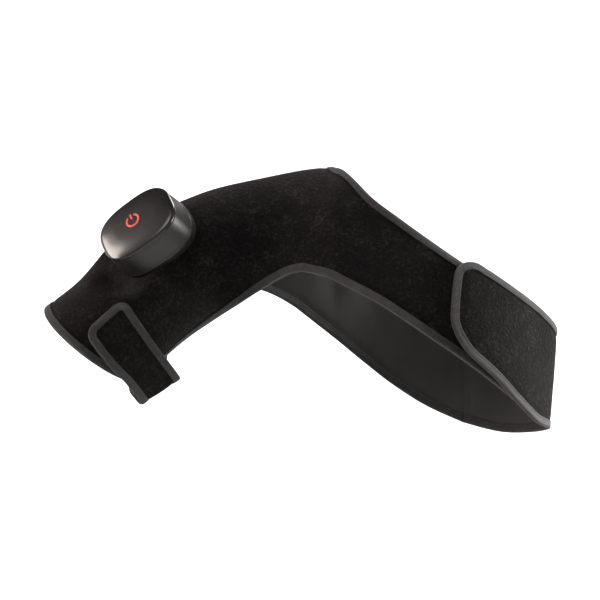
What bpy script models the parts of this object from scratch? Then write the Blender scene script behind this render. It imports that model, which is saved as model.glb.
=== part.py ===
# Heated shoulder wrap: an arm sleeve, a shoulder cap, and a band round chest and back.
# Metres, +Z up, +X along the wrap from the shoulder to the far fold, -Y the chest side.
# The origin is on the lining at the top of the shoulder, where the wrap is carried.
import bpy
import bmesh
from math import acos, copysign, cos, degrees, pi, radians, sin, tan
from mathutils import Vector
from mathutils.bvhtree import BVHTree

# The loop round the torso
LOOP_REACH = 0.2715       # from the origin to the outside of the far fold
LOOP_NEAR = 0.0600        # from the origin to where the loop's curve closes under the near arm
LOOP_DEPTH = 0.1660       # chest to back, outside
LOOP_SET_BACK = 0.0050    # the loop's middle lies this far behind the origin
LOOP_PINCH = 0.60         # how much the loop narrows towards the far fold
BAND_WIDTH = 0.1100       # upright width of the band
BAND_DROP = 0.2120        # from the origin down to the band's middle at the far fold
FOLD_LEAN = 0.0130        # how far the fold leans in at its lower edge
FRONT_END = -40.0         # degrees round the loop, where the front band ends under the strap
STRAP_SEAM = 62.0         # degrees round the loop, where the chest strap is sewn to the back band
STRAP_END = -71.5         # degrees round the loop, where the chest strap ends on the chest
STRAP_CORNER = 0.0260     # corner radius of the chest strap's end

# The sleeve and the shoulder cap
SLEEVE_REACH = 0.2400     # from the origin to the hem's outer corner
SLEEVE_DROP = 0.2140      # from the origin down to the hem's lower corner
CAP_DEPTH = 0.0780        # from the shoulder's ridge to the chest or the back

# The cloth and its edges
WALL = 0.0040             # neoprene with its two knitted faces
GAP = 0.0003              # between pieces that touch
TAPE = 0.0010             # thickness of the binding tape
TAPE_WIDTH = 0.0068       # how much of the tape lies on each face
INSET = 0.0120            # from an edge to the first row of a net, clear of the tape
PANEL_STEPS = 9           # rows of the panel's net across the sleeve
NECK_STEPS = 2            # how many of them end on the neck edge, above the band
HOOK_WALL = 0.0032        # hooks and the loops that they press into
HOOK_MARGIN = 0.0170      # from a strap's edge to its hook patch
CHEST_HOOK_LENGTH = 0.0600

# The arm strap
ARM_STRAP_WIDTH = 0.0445
ARM_STRAP_WALL = 0.0026
ARM_STRAP_CORNER = 0.0100
ARM_STRAP_SLANT = 19.0    # degrees off square to the sleeve
ARM_STRAP_TILT = 9.0      # degrees that its fold is off the line of the sleeve's edge
ARM_STRAP_FRONT = 0.1050  # from its free end to its fold
ARM_STRAP_LEAVES = 0.70   # share of the way round the sleeve's chest side, where it leaves it
ARM_STRAP_HEM = 0.0064    # from the line of the hem to the middle of its fold
ARM_STRAP_HANG = 0.0225   # how far its fold hangs below the sleeve's edge
ARM_STRAP_AHEAD = 0.0064  # how far that fold stands ahead of the sleeve's edge
ARM_STRAP_BEND = 0.0045   # radius of that fold
ARM_STRAP_LAP = 0.0150    # how far its sewn end laps the sleeve's back edge
ARM_TAPE_WIDTH = 0.0068
ARM_HOOK_LENGTH = 0.0300

# The control pod
POD_LENGTH = 0.0870
POD_WIDTH = 0.0672
POD_HEIGHT = 0.0365       # from the cloth to the top of the lid
POD_SQUARENESS = 2.8      # exponent of its rounded outline
POD_BASE_HEIGHT = 0.0050
POD_LID_HEIGHT = 0.0060
POD_TAPER = 0.0022        # how far the housing draws in on each side, bottom to top
POD_SECTION = 2.55        # which section of the sleeve it sits on, in rows from the hem
POD_ROUND = 0.0605        # from the ridge round to the pod's middle
POD_SETTLE = 0.0065       # how far the cloth is pressed flat under it
POD_SKIRT = 0.0090        # the furthest that its flange follows the cloth down
POD_FLAT = 1.28           # how far out the cloth is flat, in shares of its outline
POD_EASE = 1.75           # how far out the cloth is bent by it, in shares of its outline
POD_FACING = (-0.46, -0.87, 0.17)
POD_LONG_WAY = (0.80, -0.33, 0.50)

# The sleeve and the cap, a row for each section from the hem to the neck corner. The ridge
# and the two free edges are x, y and z in shares of SLEEVE_REACH, CAP_DEPTH and SLEEVE_DROP.
# A turn is the cloth's slope at an edge in degrees: 90 hangs straight down, 180 has curled
# right under the arm. A tip is how far the section leans, in degrees.
SHOULDER_ROWS = [
    # ridge x, y, z           chest edge x, y, z, turn       back edge x, y, z, turn         tip
    ((-0.983, -0.15, -0.680), (-0.612, 0.15, -0.990, 170.0), (-0.705, 0.60, -0.870, 130.0), 30.0),
    ((-0.848, -0.06, -0.530), (-0.530, 0.13, -0.905, 168.0), (-0.615, 0.64, -0.775, 128.0), 24.0),
    ((-0.690, 0.00, -0.297), (-0.415, 0.10, -0.792, 160.0), (-0.490, 0.69, -0.630, 124.0), 17.0),
    ((-0.520, 0.00, -0.178), (-0.295, 0.06, -0.700, 150.0), (-0.360, 0.75, -0.500, 116.0), 10.0),
    ((-0.350, 0.04, -0.088), (-0.195, -0.06, -0.643, 136.0), (-0.270, 0.81, -0.452, 106.0), 5.0),
    ((-0.185, 0.06, -0.036), (-0.115, -0.23, -0.606, 116.0), (-0.185, 0.86, -0.440, 98.0), 0.0),
    ((0.000, 0.06, 0.010), (-0.035, -0.48, -0.582, 101.0), (-0.105, 0.88, -0.445, 93.0), 0.0),
    ((0.120, 0.06, 0.032), (0.020, -0.66, -0.574, 93.0), (-0.025, 0.92, -0.480, 90.0), 0.0),
    ((0.212, 0.06, 0.040), (0.070, -0.76, -0.576, 90.0), (0.045, 0.96, -0.525, 90.0), 0.0),
]

# The neck corner, where the neck edge comes down to the band, on the chest side and on the back
CHEST_CORNER_ROWS = [
    # neck edge x, y, z, turn       lower edge x, y, z, turn
    ((0.238, -0.62, -0.058, 48.0), (0.172, -0.85, -0.617, 90.0)),
    ((0.286, -0.78, -0.137, 72.0), (0.236, -0.87, -0.658, 90.0)),
]
BACK_CORNER_ROWS = [
    ((0.238, 0.72, -0.058, 48.0), (0.170, 1.02, -0.634, 90.0)),
    ((0.286, 0.92, -0.137, 74.0), (0.236, 1.05, -0.692, 90.0)),
]

# The front band, a row for each section: degrees round the loop, the band's middle in shares
# of BAND_DROP and its width in shares of BAND_WIDTH
FRONT_ROWS = [
    (-97.0, 0.494, 0.955),
    (-88.0, 0.585, 0.920),
    (-79.0, 0.672, 0.905),
    (-70.0, 0.748, 0.895),
    (-60.0, 0.818, 0.895),
    (-50.0, 0.875, 0.900),
    (-40.0, 0.918, 0.900),
]

# The back band and the chest strap, from the back round the far fold to the chest
BACK_ROWS = [
    (98.0, 0.552, 0.960),
    (88.0, 0.665, 0.950),
    (76.0, 0.775, 0.955),
    (62.0, 0.868, 0.965),
    (44.0, 0.940, 0.985),
    (24.0, 0.980, 0.965),
    (0.0, 1.000, 0.925),
    (-16.0, 0.988, 0.985),
    (-30.0, 0.962, 1.045),
    (-44.0, 0.905, 1.015),
    (-57.0, 0.820, 0.938),
    (-67.0, 0.748, 0.902),
    (-77.0, 0.668, 0.888),
]

# The pod's outline from the cloth up: how far each ring is drawn in, and its height, both in
# shares of the size named beside it
BASE_RINGS = [
    # in, share of POD_TAPER    height, share of POD_BASE_HEIGHT
    (1.80, 0.00),
    (0.00, 0.00),
    (0.00, 0.80),
    (0.25, 1.00),
]
HOUSING_RINGS = [
    # in, share of POD_TAPER    height, share of the housing's own height
    (0.00, 0.00),
    (0.05, 0.10),
    (0.45, 0.55),
    (1.00, 0.96),
    (1.40, 1.00),
]
LID_RINGS = [
    # in, share of POD_LID_HEIGHT    height, share of POD_LID_HEIGHT
    (0.10, 0.00),
    (0.00, 0.10),
    (0.02, 0.34),
    (0.18, 0.56),
    (0.60, 0.74),
    (1.60, 0.88),
    (2.90, 0.97),
]

def spline(rows, place):
    """The row at a place from 0 to the last index, on a smooth curve through all the rows."""
    last = len(rows) - 1
    if place < 0:
        return [a + (b - a) * place for a, b in zip(rows[0], rows[1])]
    i = min(int(place), last - 1)
    t = place - i
    before = rows[max(i - 1, 0)]
    after = rows[min(i + 2, last)]
    return [
        b + 0.5 * t * (c - a + t * (2 * a - 5 * b + 4 * c - d + t * (3 * (b - c) + d - a)))
        for a, b, c, d in zip(before, rows[i], rows[i + 1], after)
    ]


def loop_place(angle, share, inward):
    """x and y on the loop: degrees round it, share of the way down the band, and how far in
    from the outside of the strap."""
    def outside(turn):
        lean = FOLD_LEAN * share * max(0.0, cos(turn)) ** 2
        pinch = 1 - LOOP_PINCH * max(0.0, cos(turn)) ** 4
        x = (LOOP_REACH - LOOP_NEAR) / 2 + ((LOOP_REACH + LOOP_NEAR) / 2 - lean) * cos(turn)
        return Vector((x, LOOP_SET_BACK + LOOP_DEPTH / 2 * sin(turn) * pinch))
    turn = radians(angle)
    way = (outside(turn + 0.01) - outside(turn - 0.01)).normalized()
    return outside(turn) - Vector((way.y, -way.x)) * inward


def band_point(rows, angle, across, inward):
    """A point of the band's middle surface: across is 0 at the neck edge and 1 below."""
    order = 1 if rows[-1][0] > rows[0][0] else -1
    i = 0
    while i < len(rows) - 2 and (rows[i + 1][0] - angle) * order < 0:
        i += 1
    place = i + (angle - rows[i][0]) / (rows[i + 1][0] - rows[i][0])
    _, middle, width = spline(rows, place)
    x, y = loop_place(angle, across, inward)
    return Vector((x, y, -middle * BAND_DROP + (0.5 - across) * width * BAND_WIDTH))


def section(top, low, out, turn_top, turn_low):
    """A curve from top to low, as near to an arc as its slopes at the two ends allow."""
    chord = low - top
    down = (chord - out * chord.dot(out)).normalized()
    start = out * cos(turn_top) + down * sin(turn_top)
    end = out * cos(turn_low) + down * sin(turn_low)
    sweep = turn_low - turn_top
    handle = chord.length / 3
    if abs(sweep) > 0.01:
        handle = chord.length * 2 / 3 * tan(sweep / 4) / sin(sweep / 2)
    return bezier(top, top + start * handle, low - end * handle, low, 40)


def bezier(a, b, c, d, steps):
    points = []
    for i in range(steps + 1):
        t = i / steps
        s = 1 - t
        points.append(a * s ** 3 + b * 3 * s * s * t + c * 3 * s * t * t + d * t ** 3)
    return points


def run_length(points):
    return sum((b - a).length for a, b in zip(points, points[1:]))


def along(points, length):
    """The point at a length along a run of points; the last step carries on past its end."""
    for a, b in zip(points, points[1:]):
        step = (b - a).length
        if length <= step:
            break
        length -= step
    else:
        length += step
    return a + (b - a) * (length / step)


def panel_rows(side):
    """The sleeve's and the cap's sections from the hem to the ridge's end: side -1 is the
    chest, 1 the back."""
    size = Vector((SLEEVE_REACH, CAP_DEPTH, SLEEVE_DROP))
    rows = []
    for ridge, chest, back, tip in SHOULDER_ROWS:
        edge = chest if side < 0 else back
        top = [a * b for a, b in zip(ridge, size)]
        low = [a * b for a, b in zip(edge[:3], size)]
        rows.append([*top, *low, 0.0, edge[3], tip])
    return rows


def band_rows(side):
    """The band's sections, from where the last section of the cap leaves the neck edge."""
    size = Vector((SLEEVE_REACH, CAP_DEPTH, SLEEVE_DROP))
    last = panel_rows(side)[-1]
    points = panel_section([last, last], side, 0.0)
    length = run_length(points)
    leaves = length * net_shares(length, PANEL_STEPS)[NECK_STEPS]
    top = along(points, leaves)
    way = (along(points, leaves + GAP) - top).normalized()
    tip = radians(last[8])
    turn = degrees(acos(way.dot(Vector((0.0, side * cos(tip), side * sin(tip))))))
    rows = [[*top, *last[3:6], turn, *last[7:]]]
    for neck, edge in CHEST_CORNER_ROWS if side < 0 else BACK_CORNER_ROWS:
        top = [a * b for a, b in zip(neck[:3], size)]
        low = [a * b for a, b in zip(edge[:3], size)]
        rows.append([*top, *low, neck[3], edge[3], 0.0])
    table, end, inward = BACK_ROWS, STRAP_SEAM, WALL / 2
    if side < 0:
        table, end, inward = FRONT_ROWS, FRONT_END, WALL * 1.5 + HOOK_WALL + 2 * GAP
    angles = [row[0] for row in table if (row[0] - end) * side > 2.0] + [end]
    for angle in angles:
        top = band_point(table, angle, 0.0, inward)
        low = band_point(table, angle, 1.0, inward)
        rows.append([*top, *low, 90.0, 90.0, 0.0])
    return rows


def panel_section(rows, side, place):
    values = spline(rows, place)
    tip = radians(values[8])
    out = Vector((0.0, side * cos(tip), side * sin(tip)))
    return section(
        Vector(values[0:3]), Vector(values[3:6]), out, radians(values[6]), radians(values[7])
    )


def net_shares(length, count):
    """Shares of a length: the two insets clear of the tape, and even steps between them."""
    edge = min(INSET / length, 0.28)
    return [0.0] + [edge + (1 - 2 * edge) * i / count for i in range(count + 1)] + [1.0]


def pod_frame():
    """Where the pod sits: a point on the bare sleeve's middle surface and its three axes."""
    middle = along(panel_section(panel_rows(-1), -1, POD_SECTION), POD_ROUND)
    up = Vector(POD_FACING).normalized()
    long_way = Vector(POD_LONG_WAY)
    long_way = (long_way - up * long_way.dot(up)).normalized()
    return middle, long_way, up.cross(long_way), up


def pressed_flat(point):
    """The cloth that stands up under the pod is pressed flat by it, and eases off round it."""
    middle, long_way, short_way, up = pod_frame()
    step = point - middle
    height = step.dot(up)
    if height < -POD_WIDTH:
        return point
    reach = (abs(step.dot(long_way) / POD_LENGTH * 2) ** POD_SQUARENESS
             + abs(step.dot(short_way) / POD_WIDTH * 2) ** POD_SQUARENESS) ** (1 / POD_SQUARENESS)
    ease = min(max((POD_EASE - reach) / (POD_EASE - POD_FLAT), 0.0), 1.0)
    ease = ease * ease * (3 - 2 * ease)
    return point - up * max(height + POD_SETTLE, 0.0) * ease


def new_material(name, colour, roughness, metallic=0.0):
    material = bpy.data.materials.new(name)
    material.use_nodes = True
    shader = material.node_tree.nodes["Principled BSDF"]
    shader.inputs["Base Color"].default_value = (*colour, 1.0)
    shader.inputs["Roughness"].default_value = roughness
    shader.inputs["Metallic"].default_value = metallic
    return material


def add_object(name, bm, material):
    bmesh.ops.recalc_face_normals(bm, faces=bm.faces[:])
    mesh = bpy.data.meshes.new(name)
    bm.to_mesh(mesh)
    bm.free()
    mesh.materials.append(material)
    mesh.shade_smooth()
    mesh.set_sharp_from_angle(angle=radians(40))
    obj = bpy.data.objects.new(name, mesh)
    bpy.context.scene.collection.objects.link(obj)
    return obj


class Net:
    """A sheet's middle surface: columns of points, and the normal at each point."""

    def __init__(self):
        self.bm = bmesh.new()
        self.points = []

    def add(self, point):
        self.bm.verts.new(point)
        self.points.append(point)
        return len(self.points) - 1

    def join(self, columns, turned=False):
        self.bm.verts.ensure_lookup_table()
        for one, two in zip(columns, columns[1:]):
            for j in range(len(one) - 1):
                a, b, c, d = one[j], two[j], two[j + 1], one[j + 1]
                for corners in ((d, c, b), (d, b, a)) if turned else ((a, b, c), (a, c, d)):
                    self.bm.faces.new([self.bm.verts[i] for i in corners])

    def close(self):
        self.bm.verts.index_update()
        self.bm.normal_update()
        self.bm.verts.ensure_lookup_table()
        self.normals = [v.normal.copy() for v in self.bm.verts]

    def shifted(self, distance):
        return [p + n * distance for p, n in zip(self.points, self.normals)]

    def solid(self, name, material, low, high):
        """A wall between two distances from the middle surface."""
        bm = bmesh.new()
        under = [bm.verts.new(p) for p in self.shifted(low)]
        over = [bm.verts.new(p) for p in self.shifted(high)]
        for face in self.bm.faces:
            ring = [v.index for v in face.verts]
            bm.faces.new([over[i] for i in ring])
            bm.faces.new([under[i] for i in reversed(ring)])
        for edge in self.bm.edges:
            if edge.is_boundary:
                a = edge.link_loops[0].vert.index
                b = edge.link_loops[0].link_loop_next.vert.index
                bm.faces.new([over[b], over[a], under[a]])
                bm.faces.new([over[b], under[a], under[b]])
        return add_object(name, bm, material)

    def surface(self, distance):
        faces = [[v.index for v in face.verts] for face in self.bm.faces]
        return BVHTree.FromPolygons(self.shifted(distance), faces)

    def station(self, edge, inset):
        return self.points[edge], self.normals[edge], self.points[inset], self.normals[inset]


def add_binding(name, stations, wall, width, material):
    """Tape folded over an edge. A station is a point and normal at the edge, and a point and
    normal some way in from it. Its facets are split the same way as the sheet's under them."""
    clear = GAP * 1.8
    inner = wall / 2 + clear
    outer = inner + TAPE
    bm = bmesh.new()
    rings = []
    for i, (edge, normal, inside, inside_normal) in enumerate(stations):
        ahead = stations[min(i + 1, len(stations) - 1)][0] - stations[max(i - 1, 0)][0]
        ahead.normalize()
        step = inside - edge
        square = step - ahead * step.dot(ahead)
        share = min(width / square.length, 0.8 * INSET / step.length)
        lip = edge + step * share
        lip_normal = normal.lerp(inside_normal, share).normalized()
        away = -(square - normal * square.dot(normal)).normalized()
        ring = [
            lip + lip_normal * inner,
            lip + lip_normal * outer,
            edge + away * (clear + TAPE) * 0.7 + normal * outer,
            edge + away * (clear + TAPE) * 0.7 - normal * outer,
            lip - lip_normal * outer,
            lip - lip_normal * inner,
            edge + away * clear - normal * inner,
            edge + away * clear + normal * inner,
        ]
        rings.append([bm.verts.new(p) for p in ring])
    for one, two in zip(rings, rings[1:]):
        for j in range(len(one)):
            k = (j + 1) % len(one)
            if j in (1, 5):
                bm.faces.new([one[j], one[k], two[k]])
                bm.faces.new([one[j], two[k], two[j]])
            else:
                bm.faces.new([one[j], one[k], two[j]])
                bm.faces.new([one[k], two[k], two[j]])
    for a, b, c, d, e, f, g, h in (rings[0], rings[-1]):
        for corners in ((a, b, c, h), (h, c, d, g), (g, d, e, f)):
            bm.faces.new(corners)
    return add_object(name, bm, material)


def build_panel(materials):
    """The neoprene panel: both halves share the ridge, from the hem to the neck corner."""
    net = Net()
    corner = len(SHOULDER_ROWS) - 1
    hem = 0.37
    cap_places = [0.0] + [hem + (corner - hem) * i / 20 for i in range(21)]
    halves = {}
    for side in (-1, 1):
        def line(rows, place, steps):
            points = panel_section(rows, side, place)
            length = run_length(points)
            shares = net_shares(length, steps)
            return [pressed_flat(along(points, share * length)) for share in shares]

        rows = panel_rows(side)
        columns = []
        for k, place in enumerate(cap_places):
            points = line(rows, place, PANEL_STEPS)
            first = halves[-1][k][0] if side > 0 else net.add(points[0])
            columns.append([first] + [net.add(point) for point in points[1:]])
        net.join(columns, turned=side > 0)
        rows = band_rows(side)
        band = [columns[-1][NECK_STEPS:]]
        places = [i / 4 for i in range(1, 9)] + [i / 2 for i in range(5, 2 * len(rows) - 1)]
        for place in places:
            points = line(rows, place, PANEL_STEPS - NECK_STEPS)
            band.append([net.add(point) for point in points])
        net.join(band, turned=side > 0)
        halves[side] = columns + band[1:]
    net.close()
    net.solid("shoulder_panel", materials["pile"], -WALL / 2, WALL / 2)

    tape = materials["tape"]
    chest, back = halves[-1], halves[1]
    ridge = len(cap_places) - 1
    neck = []
    for columns in (chest, back):
        last, before = columns[ridge], columns[ridge - 1]
        run = [net.station(last[i], before[i]) for i in range(NECK_STEPS + 1)]
        onward = [net.station(line[0], line[1]) for line in columns[ridge + 1:]]
        turned = net.station(last[NECK_STEPS], last[NECK_STEPS + 1])
        run.append([a.lerp(b, 0.3) for a, b in zip(turned, onward[0])])
        run += onward
        neck = run[:0:-1] if columns is chest else neck + run
    add_binding("neck_binding", neck, WALL, TAPE_WIDTH, tape)
    for name, columns in (("front_binding", chest), ("back_binding", back)):
        lower = [net.station(line[-1], line[-2]) for line in columns[1:]]
        if columns is back:
            lower.reverse()
        add_binding(name, lower, WALL, TAPE_WIDTH, tape)
    hem_line = [net.station(a, b) for a, b in zip(chest[0], chest[1])][::-1]
    hem_line += [net.station(a, b) for a, b in zip(back[0][1:], back[1][1:])]
    add_binding("hem_binding", hem_line, WALL, TAPE_WIDTH, tape)
    return net


class Ribbon:
    """A strap's middle surface. point(s, w) is its place at s from the rounded end and w from
    its middle line."""

    def __init__(self, point, places, half_width, corner):
        self.point = point
        self.places = places
        self.half_width = half_width
        self.corner = corner

    def normal(self, s, w):
        step = 0.0005
        ahead = self.point(s + step, w) - self.point(s - step, w)
        across = self.point(s, w + step) - self.point(s, w - step)
        return ahead.cross(across).normalized()

    def stations(self, places):
        """Columns' places with how far the rounded corners draw them in."""
        columns = []
        for turn in (0.0, pi / 9, 2 * pi / 9, 0.36 * pi, pi / 2):
            columns.append((self.corner * (1 - cos(turn)), self.corner * (1 - sin(turn))))
        return columns + [(s, 0.0) for s in places if s > self.corner * 1.2]

    def net(self, rows):
        net = Net()
        columns = []
        for s, drawn_in in self.stations(self.places):
            half = self.half_width(s) - drawn_in
            line = [-half + share * 2 * half for share in net_shares(2 * half, rows)]
            columns.append([net.add(self.point(s, w)) for w in line])
        net.join(columns)
        net.close()
        return net, columns

    def patch(self, start, length, margin, corner):
        """A patch on the ribbon, inside its edges by a margin."""
        places = [s - start for s in self.places if s < start + length]
        return Ribbon(
            lambda s, w: self.point(s + start, w),
            places + [length],
            lambda s: self.half_width(s + start) - margin,
            corner,
        )

    def tape_stations(self, net, columns, depth):
        """Stations for tape up one long edge of the ribbon's net, round its end and down the
        other."""
        def station(index, s, w, towards):
            inside = (s + towards[0] * depth, w + towards[1] * depth)
            return (
                net.points[index], net.normals[index], self.point(*inside), self.normal(*inside)
            )
        upper = []
        lower = []
        for (s, drawn_in), line in zip(self.stations(self.places), columns):
            if drawn_in > 0:
                w = self.half_width(s) - drawn_in
                turn = ((self.corner - s) / self.corner, (drawn_in - self.corner) / self.corner)
                upper.append(station(line[-1], s, w, turn))
                lower.append(station(line[0], s, -w, (turn[0], -turn[1])))
            else:
                upper.append(net.station(line[-1], line[-2]))
                lower.append(net.station(line[0], line[1]))
        end = columns[0]
        middle = []
        for index in end[-2:0:-1]:
            share = (net.points[index] - net.points[end[0]]).length
            share /= (net.points[end[-1]] - net.points[end[0]]).length
            w = (2 * share - 1) * (self.half_width(0.0) - self.corner)
            middle.append(station(index, 0.0, w, (1.0, 0.0)))
        return lower[::-1] + middle[::-1] + upper


def even_places(start, end, step):
    count = max(1, round((end - start) / step))
    return [start + (end - start) * i / count for i in range(count + 1)]


def chest_ribbon():
    inward = WALL / 2
    angles = [STRAP_END + 0.5 * i for i in range(round((STRAP_SEAM - STRAP_END) * 2) + 1)]
    spine = [band_point(BACK_ROWS, angle, 0.5, inward) for angle in angles]
    lengths = [0.0]
    for a, b in zip(spine, spine[1:]):
        lengths.append(lengths[-1] + (b.xy - a.xy).length)

    def angle_at(s):
        i = 0
        while i < len(lengths) - 2 and lengths[i + 1] < s:
            i += 1
        return angles[i] + 0.5 * (s - lengths[i]) / (lengths[i + 1] - lengths[i])

    def half_width(s):
        angle = angle_at(s)
        top = band_point(BACK_ROWS, angle, 0.0, inward)
        low = band_point(BACK_ROWS, angle, 1.0, inward)
        return (top.z - low.z) / 2

    def point(s, w):
        return band_point(BACK_ROWS, angle_at(s), 0.5 - w / 2 / half_width(s), inward)

    places = even_places(STRAP_CORNER, lengths[-1] - 2 * GAP, 0.0125)
    return Ribbon(point, places, half_width, STRAP_CORNER)


def build_chest_strap(materials):
    ribbon = chest_ribbon()
    net, columns = ribbon.net(5)
    net.solid("chest_strap", materials["pile"], -WALL / 2, WALL / 2)
    stations = ribbon.tape_stations(net, columns, TAPE_WIDTH)
    add_binding("chest_strap_binding", stations, WALL, TAPE_WIDTH, materials["tape"])
    patch = ribbon.patch(HOOK_MARGIN, CHEST_HOOK_LENGTH, HOOK_MARGIN, STRAP_CORNER / 2)
    near = WALL / 2 + GAP
    patch.net(3)[0].solid("chest_hook_patch", materials["hook"], -near - HOOK_WALL, -near)


def arm_ribbon():
    """The arm strap lies on the sleeve's chest side, hangs clear of its edge, folds, and goes
    up to the sleeve's back edge."""
    chest_rows, back_rows = panel_rows(-1), panel_rows(1)
    lift = WALL / 2 + HOOK_WALL + 2 * GAP + ARM_STRAP_WALL / 2
    sewn_lift = WALL / 2 + TAPE * 3.4 + 2 * GAP + ARM_STRAP_WALL / 2
    slant, tilt = radians(ARM_STRAP_SLANT), radians(ARM_STRAP_TILT)
    bend_steps = 8
    sewn_steps = 8

    def offset(points, axis, distance):
        moved = []
        for i, point in enumerate(points):
            way = points[min(i + 1, len(points) - 1)] - points[max(i - 1, 0)]
            moved.append(point + way.cross(axis).normalized() * distance)
        return moved

    def track(place, hang):
        """The strap's run in one section of the sleeve, and the length of it to the fold."""
        values = spline(chest_rows, place)
        chest = panel_section(chest_rows, -1, place)
        back = panel_section(back_rows, 1, place)
        axis = (Vector(spline(chest_rows, place + 0.5)[0:3]) - Vector(values[0:3])).normalized()
        leave = round(ARM_STRAP_LEAVES * (len(chest) - 1))
        points = offset(chest, axis, lift)[:leave + 1]
        lean = radians(values[8])
        out = Vector((0.0, -cos(lean), -sin(lean)))
        down = chest[-1] - chest[0]
        down = (down - out * down.dot(out)).normalized()
        tip_of_fold = chest[-1] + down * hang + out * ARM_STRAP_AHEAD
        down = (tip_of_fold - points[-1]).normalized()
        out = down.cross(axis).normalized()
        fold = tip_of_fold - down * ARM_STRAP_BEND
        outside = fold + out * ARM_STRAP_BEND
        inside = fold - out * ARM_STRAP_BEND
        way = (points[-1] - points[-2]).normalized()
        reach = (outside - points[-1]).length / 3
        points += bezier(
            points[-1], points[-1] + way * reach, outside - down * reach, outside, 16)[1:]
        for i in range(1, bend_steps):
            turn = pi * i / bend_steps
            points.append(fold + (out * cos(turn) + down * sin(turn)) * ARM_STRAP_BEND)
        to_fold = run_length(points[:1 - bend_steps // 2])
        sewn = offset(back, axis, -sewn_lift)[::-1]
        way = (sewn[1] - sewn[0]).normalized()
        reach = (sewn[0] - inside).length / 3
        points += bezier(inside, inside - down * reach, sewn[0] - way * reach, sewn[0], 12)
        return points + sewn[1:sewn_steps], to_fold

    (near_hem, near_fold), (next_one, next_fold) = [track(i, ARM_STRAP_HANG) for i in (0.0, 1.0)]

    def point(s, w):
        past = s - ARM_STRAP_FRONT
        run = past / cos(slant)
        step = (along(next_one, next_fold + run) - along(near_hem, near_fold + run)).length
        from_hem = ARM_STRAP_HEM + abs(past) * sin(slant) + w * cos(slant)
        points, fold = track(
            from_hem / step, ARM_STRAP_HANG + (from_hem - ARM_STRAP_HEM) * tan(tilt))
        return along(points, fold + run)

    length = ARM_STRAP_FRONT + run_length(near_hem) - near_fold
    length -= run_length(near_hem[-sewn_steps:]) - ARM_STRAP_LAP
    places = even_places(ARM_STRAP_CORNER, ARM_STRAP_FRONT - 0.012, 0.010)
    places += even_places(ARM_STRAP_FRONT - 0.009, ARM_STRAP_FRONT + 0.009, 0.003)
    places += even_places(ARM_STRAP_FRONT + 0.014, length, 0.010)
    return Ribbon(point, places, lambda s: ARM_STRAP_WIDTH / 2, ARM_STRAP_CORNER)


def build_arm_strap(materials):
    ribbon = arm_ribbon()
    net, columns = ribbon.net(2)
    half = ARM_STRAP_WALL / 2
    net.solid("arm_strap", materials["pile"], -half, half)
    stations = ribbon.tape_stations(net, columns, ARM_TAPE_WIDTH)
    add_binding("arm_strap_binding", stations, ARM_STRAP_WALL, ARM_TAPE_WIDTH, materials["tape"])
    margin = ARM_TAPE_WIDTH + HOOK_WALL
    patch = ribbon.patch(margin, ARM_HOOK_LENGTH, margin, ARM_STRAP_CORNER / 2)
    near = half + GAP
    patch.net(1)[0].solid("arm_hook_patch", materials["hook"], -near - HOOK_WALL, -near)


def ring_points(frame, half_long, half_short, height, count=44):
    """A rounded outline in a plane of the pod's frame."""
    middle, long_way, short_way, up = frame
    points = []
    for i in range(count):
        turn = 2 * pi * i / count
        a = copysign(abs(cos(turn)) ** (2 / POD_SQUARENESS), cos(turn)) * half_long
        b = copysign(abs(sin(turn)) ** (2 / POD_SQUARENESS), sin(turn)) * half_short
        points.append(middle + long_way * a + short_way * b + up * height)
    return points


def add_loft(name, rings, material):
    bm = bmesh.new()
    rings = [[bm.verts.new(p) for p in ring] for ring in rings]
    for one, two in zip(rings, rings[1:]):
        for j in range(len(one)):
            k = (j + 1) % len(one)
            bm.faces.new([one[j], one[k], two[k], two[j]])
    bm.faces.new(rings[0][::-1])
    bm.faces.new(rings[-1])
    return add_object(name, bm, material)


def build_pod(net, materials):
    frame = pod_frame()
    up = frame[3]
    cloth = net.surface(-WALL / 2)
    half_long, half_short = POD_LENGTH / 2, POD_WIDTH / 2
    floor = WALL / 2 - POD_SETTLE + GAP
    base_top = floor + POD_BASE_HEIGHT
    rings = []
    for drawn_in, share in BASE_RINGS:
        inset = POD_TAPER * drawn_in
        height = floor + POD_BASE_HEIGHT * share
        rings.append(ring_points(frame, half_long - inset, half_short - inset, height))
    skirt = []
    for point in rings[1]:
        _, _, _, depth = cloth.ray_cast(point, -up, POD_SKIRT)
        skirt.append(point - up * (POD_SKIRT if depth is None else depth) * 0.5)
    rings[1] = skirt
    add_loft("pod_base", rings, materials["housing"])

    housing_height = POD_HEIGHT - POD_BASE_HEIGHT - POD_LID_HEIGHT - 2 * GAP
    rings = []
    for drawn_in, share in HOUSING_RINGS:
        inset = POD_TAPER * drawn_in
        height = base_top + GAP + housing_height * share
        rings.append(ring_points(frame, half_long - inset, half_short - inset, height))
    add_loft("pod_housing", rings, materials["housing"])

    lid_floor = base_top + housing_height + 2 * GAP
    rings = []
    for drawn_in, share in LID_RINGS:
        inset = POD_TAPER * 0.8 + POD_LID_HEIGHT * drawn_in
        height = lid_floor + POD_LID_HEIGHT * share
        rings.append(ring_points(frame, half_long - inset, half_short - inset, height))
    add_loft("pod_lid", rings, materials["lid"])


def main():
    for obj in list(bpy.data.objects):
        bpy.data.objects.remove(obj)
    materials = {
        "pile": new_material("loop_pile", (0.012, 0.011, 0.010), 0.95),
        "tape": new_material("binding_tape", (0.045, 0.043, 0.042), 0.70),
        "hook": new_material("hook_tape", (0.015, 0.015, 0.015), 0.60),
        "housing": new_material("satin_plastic", (0.060, 0.055, 0.052), 0.38),
        "lid": new_material("gloss_plastic", (0.012, 0.010, 0.010), 0.12),
    }
    net = build_panel(materials)
    build_chest_strap(materials)
    build_arm_strap(materials)
    build_pod(net, materials)


main()
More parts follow.
